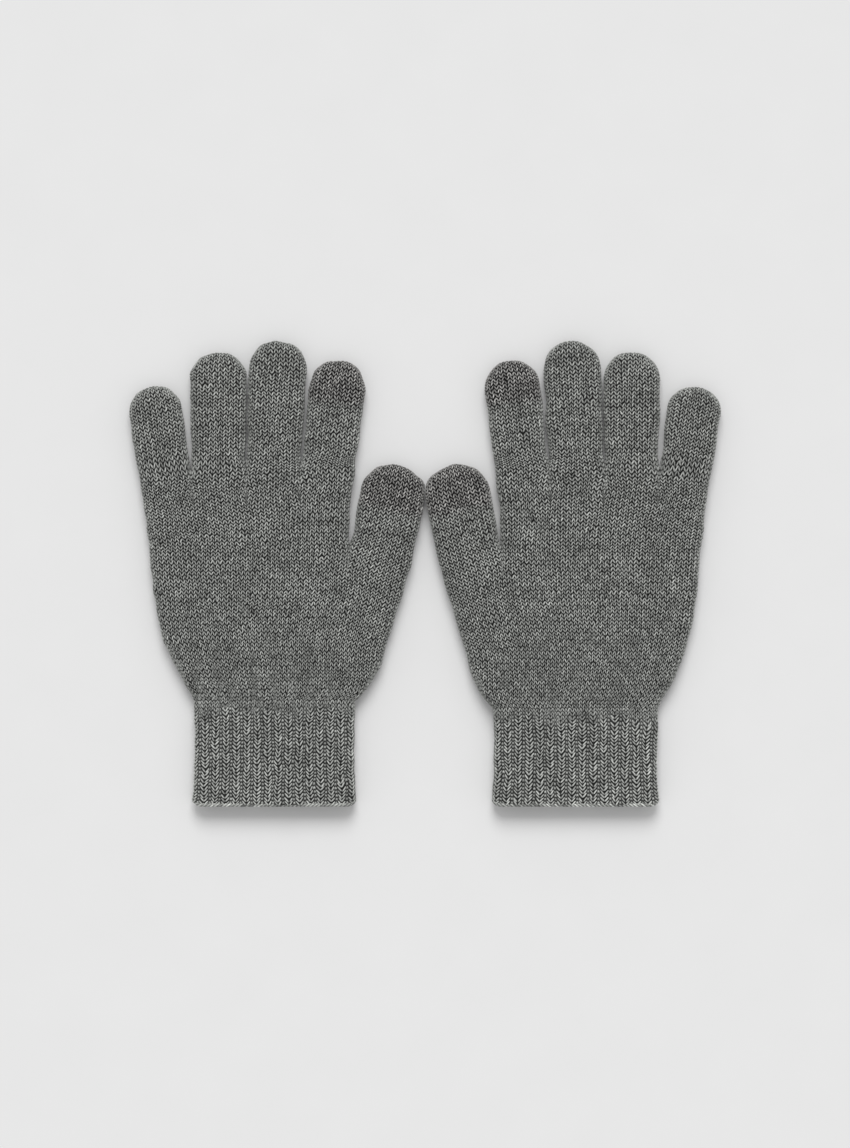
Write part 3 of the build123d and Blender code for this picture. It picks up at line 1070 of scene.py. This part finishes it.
def yarn_shader(name, seed, contrast=0.05, hue=HUE, depth=OPEN_GAP_SHADE, touch=False):
    """Heathered yarn: legs of different lightness, fine fibres, and painted shade that darkens the
    gaps between.
    """
    shader = Shader(name)
    wale, course, from_start = attribute_parts(shader, "knit")
    height, shade, _ = attribute_parts(shader, "yarn")
    across = shader.math("MULTIPLY", wale, WALE_MM)
    along = shader.math("MULTIPLY", course, COURSE / MM)
    fabric = shader.combine(across, along, seed)
    drawn_out = shader.combine(shader.math("MULTIPLY", across, STREAK_STRETCH), along, seed)
    value = shader.math("ADD", shader.math("MULTIPLY", shade, contrast), 0.5)
    layers = [(fabric, size) for size in FIBRE_SIZES + (CLOUDS,)] + [(drawn_out, STREAKS)]
    for place, (scale, strength) in layers:
        part = shader.math("SUBTRACT", shader.noise(place, scale), 0.5)
        value = shader.math("ADD", value, shader.math("MULTIPLY", part, strength))
    colour = yarn_colour_with_gap_shade(shader, value, height, HEATHER, hue, depth)
    if touch:
        conductive = yarn_colour_with_gap_shade(shader, value, height, TOUCH_HEATHER, TOUCH_HUE, TOUCH_GAP_SHADE)
        share = shader.math("DIVIDE", from_start, TOUCH_FADE)
        colour = shader.mix("MIX", share, colour, conductive)
    bump = shader.node("ShaderNodeBump")
    bump.inputs["Strength"].default_value = 0.4
    bump.inputs["Distance"].default_value = 0.15 * MM
    shader.link(shader.noise(fabric, FUZZ_SCALE, 3.0), bump.inputs["Height"])
    surface = shader.surface(colour, roughness=0.88, specular=0.25)
    shader.link(bump.outputs[0], surface.inputs["Normal"])
    surface.inputs["Sheen Weight"].default_value = 0.15
    surface.inputs["Sheen Roughness"].default_value = 0.5
    return shader.material


def floor_shader():
    shader = Shader("studio_floor")
    place = shader.node("ShaderNodeTexCoord")
    grain = shader.noise(place.outputs["Object"], 30.0, 3.0)
    colour = shader.ramp(grain, [(0.3, (0.80, 0.80, 0.80)), (0.7, (0.81, 0.81, 0.81))])
    shader.surface(colour, roughness=0.95, specular=0.0)
    return shader.material


# --- building a glove


def digit_pieces(glove, fabric, section, digit, lower_turn, upper_turn, start):
    """Splits a finger or thumb where its joints bend, and where the conductive yarn starts."""
    name = digit.name
    per_course = digit.straight / section.straight
    split = round((digit.bend - upper_turn) / per_course)
    last = section.courses
    touch = round(digit.touch / per_course) if digit.touch is not None else last
    end_body = glove.hand + "_" + name + "_end"
    z = glove.height
    lower = cloth_piece(name + "_lower_knit", glove, Cloth(fabric).tube(section, 0, split),
                        "plain_knit", [name + "_lower"])
    glove.place(start, z)
    glove.place(digit.at(lower_turn), z)
    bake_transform(lower)
    upper = cloth_piece(name + "_upper_knit", glove,
                        Cloth(fabric).tube(section, split, touch, closed_end=touch == last),
                        "plain_knit", [name + "_upper"])
    glove.place(digit.at(digit.bend - upper_turn), z)
    glove.place(digit.at(digit.bend + upper_turn), z)
    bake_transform(upper)
    if touch < last:
        tip = cloth_piece(name + "_touch_knit", glove,
                          Cloth(fabric).tube(section, touch, last, closed_end=True),
                          "conductive_knit", [name + "_touch_tip"])
        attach(tip, end_body)


def build_glove(hand, seed):
    """Knits one glove and cuts it into its pieces."""
    glove = Glove(hand, seed)
    body = hand + "_hand"
    fabric = Fabric()
    knit = Knit(seed, RING_WALES, TABLE_COURSES)
    thumb = Digit(glove, "thumb", touch=True)
    digits = {name: Digit(glove, name, touch=name == "index") for name in FINGERS}
    cuff = cuff_tube(glove, knit, fabric)
    lower = lower_palm(glove, knit, fabric, thumb, cuff)
    upper = upper_palm(glove, knit, fabric, lower)
    sections = {}
    for number, name in enumerate(FINGERS):
        sections[name] = digit_tube(glove, knit, fabric, digits[name], upper,
                                    number * FINGER_WALES, FINGER_WALES, JOIN_COURSES)
    sections["thumb"] = digit_tube(glove, knit, fabric, thumb, lower, HAND_WALES, THUMB_WALES,
                                   THUMB_JOIN_COURSES)
    fabric.finish(glove)

    for side, label in ((0, "front"), (1, "back")):
        for section, name, slot in ((lower, "lower_palm", "plain_knit"),
                                    (cuff, "rib_cuff", "rib_knit")):
            piece = cloth_piece(name + "_" + label, glove,
                                Cloth(fabric).half(section, side, 0, section.courses),
                                slot, [name])
            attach(piece, body)
    piece = cloth_piece("upper_palm_knit", glove, Cloth(fabric).tube(upper, 0, upper.courses),
                        "plain_knit", ["upper_palm"])
    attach(piece, body)
    for name in FINGERS:
        top = fabric.points[sections[name].ids[:, 0]].reshape(-1, 3)[:, 1].max()
        digit = digits[name]
        start = digit.at((top - digit.base[1]) / digit.axis[1])
        digit_pieces(glove, fabric, sections[name], digit, LOWER_TURN, UPPER_TURN, start)
    digit_pieces(glove, fabric, sections["thumb"], thumb, THUMB_LOWER_TURN, THUMB_UPPER_TURN,
                 thumb.at(0))

    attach(cuff_edge(glove), body)
    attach(elastic_loops(glove), body)


# the material of each slot
YARNS = {
    "plain_knit": yarn_shader("heather_plain_knit", 1.0),
    "rib_knit": yarn_shader("heather_rib_knit", 11.0, depth=RIB_GAP_SHADE),
    "conductive_knit": yarn_shader("conductive_knit", 21.0, touch=True),
    "overlock_yarn": yarn_shader("overlock_yarn", 31.0, contrast=0.12),
    "elastic_yarn": yarn_shader("elastic_yarn", 41.0, hue=(1.0, 1.0, 1.0)),
}
build_glove("right", 100)
build_glove("left", 200)


# --- floor, light and camera

FRAME_HEIGHT = 0.5924        # what the picture covers from top to bottom at the gloves' mid-height
CAMERA_HEIGHT = 2.6
SENSOR = 36.0
SUN_STRENGTH = 1.80
SUN_TILT = math.radians(43)
SUN_SOFTNESS = math.radians(34)
SKY_STRENGTH = 0.575


def add_floor():
    mesh = bpy.data.meshes.new("floor")
    size = 6.0
    corners = [(-size, -size, 0), (size, -size, 0), (size, size, 0), (-size, size, 0)]
    mesh.from_pydata(corners, [], [(0, 1, 2, 3)])
    mesh.materials.append(floor_shader())
    floor = add_object("floor", mesh)


def add_sun(strength, tilt, softness):
    """One large soft light from beyond the fingertips, tilted from straight above."""
    data = bpy.data.lights.new("key", "SUN")
    data.energy = strength
    data.angle = softness
    add_object("key", data).rotation_euler = (-tilt, 0, 0)


def add_camera():
    data = bpy.data.cameras.new("camera")
    data.sensor_fit = "VERTICAL"
    data.sensor_height = SENSOR
    data.lens = SENSOR * CAMERA_HEIGHT / FRAME_HEIGHT
    data.clip_end = 50
    camera = add_object("camera", data)
    middle = (cad_low + cad_high) / 2
    camera.location = (middle[0], middle[1], middle[2] + CAMERA_HEIGHT)
    bpy.context.scene.camera = camera


def add_world(strength):
    world = bpy.data.worlds.new("studio")
    world.use_nodes = True
    background = world.node_tree.nodes["Background"]
    background.inputs["Color"].default_value = (1, 1, 1, 1)
    background.inputs["Strength"].default_value = strength
    bpy.context.scene.world = world


add_floor()
add_sun(SUN_STRENGTH, SUN_TILT, SUN_SOFTNESS)
add_world(SKY_STRENGTH)
add_camera()
bpy.context.scene.view_settings.view_transform = "Standard"
